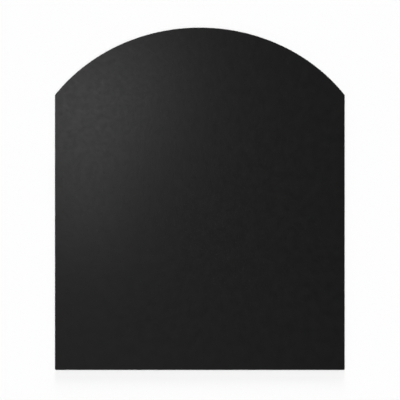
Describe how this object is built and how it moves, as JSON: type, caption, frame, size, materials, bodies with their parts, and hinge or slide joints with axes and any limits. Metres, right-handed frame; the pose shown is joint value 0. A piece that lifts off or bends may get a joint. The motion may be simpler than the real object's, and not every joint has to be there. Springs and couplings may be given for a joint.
{
  "type": "stove floor plate",
  "caption": "Flat steel plate with an arched front edge that a free-standing stove stands on, to guard the floor from sparks, on a rubber sealing strip and rubber feet.",
  "frame": {"origin": "on the floor, under the middle of the plate's bounding box", "axes": "+Z up, out of the face the stove stands on; +Y towards the room, where the edge is arched; -Y towards the wall, where the edge is straight; +X to the right, seen from above with +Y up"},
  "size_m": [1.1, 1.3, 0.004],
  "materials": {
    "powder_coat": "matte",
    "seal_rubber": "matte",
    "foot_rubber": "matte"
  },
  "bodies": {
    "root": {"floor_plate": "powder_coat", "rim_seal_front": "seal_rubber", "rim_seal_left": "seal_rubber", "rim_seal_rear": "seal_rubber", "rim_seal_right": "seal_rubber", "rubber_foot_arch_col2": "foot_rubber", "rubber_foot_arch_col3": "foot_rubber", "rubber_foot_row1_col1": "foot_rubber", "rubber_foot_row1_col2": "foot_rubber", "rubber_foot_row1_col3": "foot_rubber", "rubber_foot_row1_col4": "foot_rubber", "rubber_foot_row2_col1": "foot_rubber", "rubber_foot_row2_col2": "foot_rubber", "rubber_foot_row2_col3": "foot_rubber", "rubber_foot_row2_col4": "foot_rubber", "rubber_foot_row3_col1": "foot_rubber", "rubber_foot_row3_col2": "foot_rubber", "rubber_foot_row3_col3": "foot_rubber", "rubber_foot_row3_col4": "foot_rubber", "rubber_foot_row4_col1": "foot_rubber", "rubber_foot_row4_col2": "foot_rubber", "rubber_foot_row4_col3": "foot_rubber", "rubber_foot_row4_col4": "foot_rubber"}
  },
  "joints": []
}
